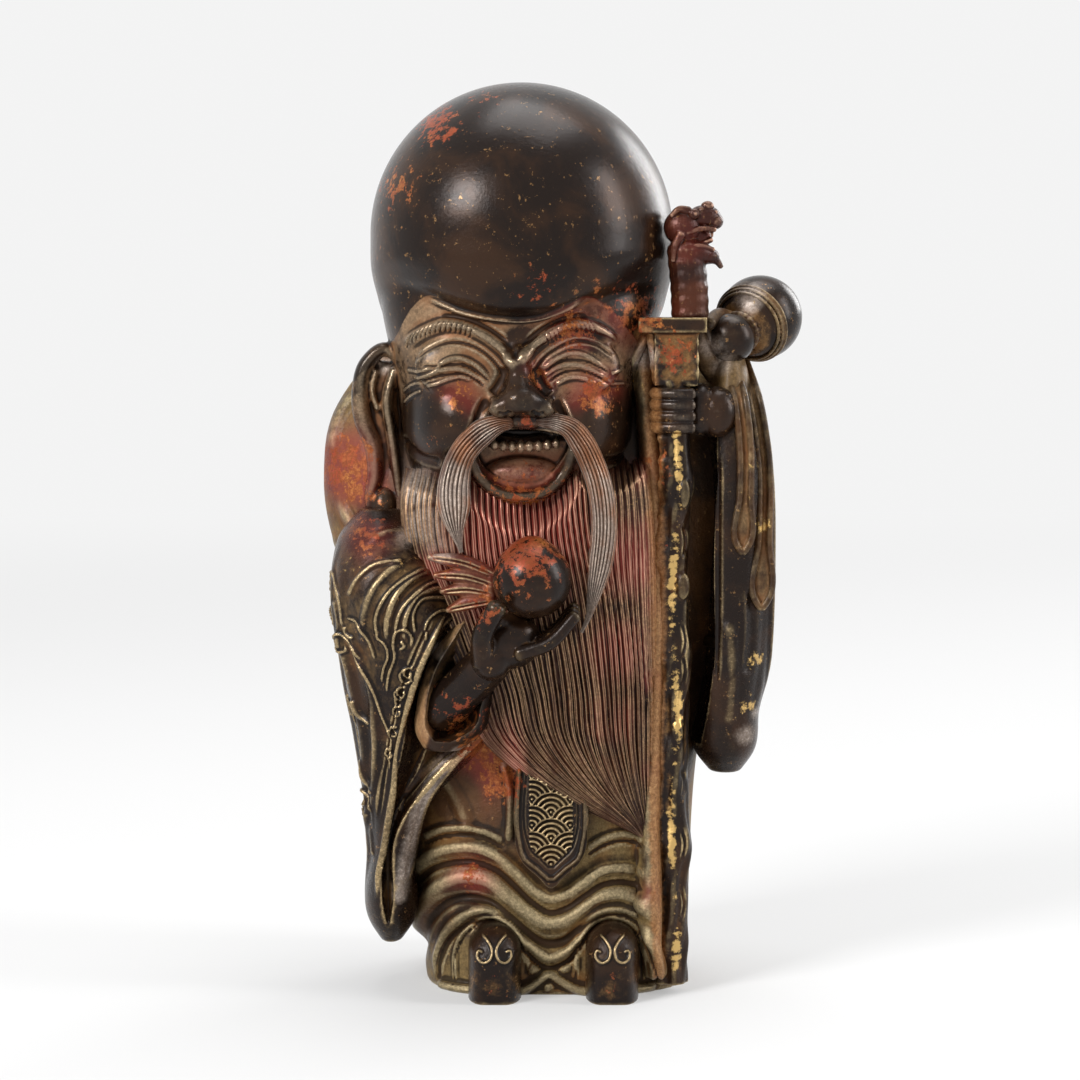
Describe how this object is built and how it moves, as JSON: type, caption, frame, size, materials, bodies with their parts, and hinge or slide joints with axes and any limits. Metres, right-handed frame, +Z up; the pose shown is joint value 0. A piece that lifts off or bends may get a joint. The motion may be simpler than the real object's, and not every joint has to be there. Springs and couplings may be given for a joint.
{
  "type": "longevity god statue",
  "caption": "Small bronze statue of the longevity god with a high bald head, a long beard, a gnarled dragon staff with a gourd, and a peach in the right hand.",
  "frame": {"origin": "on the floor, in the middle of the statue's bounding box", "axes": "+Z up, along the statue's height; the statue looks along -Y; +X is on the viewer's right, the side of the staff"},
  "size_m": [0.064, 0.0438, 0.12],
  "materials": {
    "robe_bronze": "cast bronze, olive and brown patina with gold wear",
    "head_bronze": "cast bronze, polished dark brown lacquer with orange-red wear",
    "beard_lacquer": "chased bronze under worn red lacquer",
    "sleeve_bronze": "cast bronze, dark patina, engraved, gold in the recesses",
    "cuff_gilt": "cast bronze, worn gilding",
    "hand_bronze": "cast bronze, polished dark brown",
    "peach_bronze": "cast bronze, polished, red lacquer at the top",
    "leaf_gilt": "chased bronze, red with gold edges",
    "staff_gilt": "cast bronze, dark with gold rubbed edges",
    "dragon_bronze": "cast bronze, red and gold wear",
    "gourd_bronze": "cast bronze, polished dark brown",
    "cord_gilt": "cast bronze, worn gilding",
    "ribbon_gilt": "cast bronze, worn gilding",
    "apron_bronze": "cast bronze, scale pattern, olive patina",
    "shoe_bronze": "cast bronze, polished dark brown with gold lines",
    "brass_pins": "turned brass",
    "base_plate_brass": "cut brass sheet",
    "core_clay": "fired clay core left in the casting, matt"
  },
  "bodies": {
    "root": {"robe_body": "robe_bronze", "robe_core": "core_clay", "base_plate": "base_plate_brass", "base_rivet_front": "brass_pins", "base_rivet_back": "brass_pins", "base_rivet_left": "brass_pins", "base_rivet_right": "brass_pins", "head": "head_bronze", "head_core": "core_clay", "neck_pin_front": "brass_pins", "neck_pin_back": "brass_pins", "beard": "beard_lacquer", "moustache_right": "beard_lacquer", "moustache_left": "beard_lacquer", "right_sleeve": "sleeve_bronze", "right_cuff": "cuff_gilt", "right_hand": "hand_bronze", "peach": "peach_bronze", "peach_leaves": "leaf_gilt", "left_sleeve": "sleeve_bronze", "left_hand": "hand_bronze", "staff": "staff_gilt", "dragon_head": "dragon_bronze", "gourd": "gourd_bronze", "gourd_cord": "cord_gilt", "gourd_ribbon_inner": "ribbon_gilt", "gourd_ribbon_outer": "ribbon_gilt", "apron": "apron_bronze", "right_shoe": "shoe_bronze", "left_shoe": "shoe_bronze", "beard_upper_dowel": "brass_pins", "beard_lower_dowel": "brass_pins", "right_sleeve_upper_dowel": "brass_pins", "right_sleeve_lower_dowel": "brass_pins", "left_sleeve_upper_dowel": "brass_pins", "left_sleeve_lower_dowel": "brass_pins", "staff_upper_dowel": "brass_pins", "staff_lower_dowel": "brass_pins"}
  },
  "joints": []
}
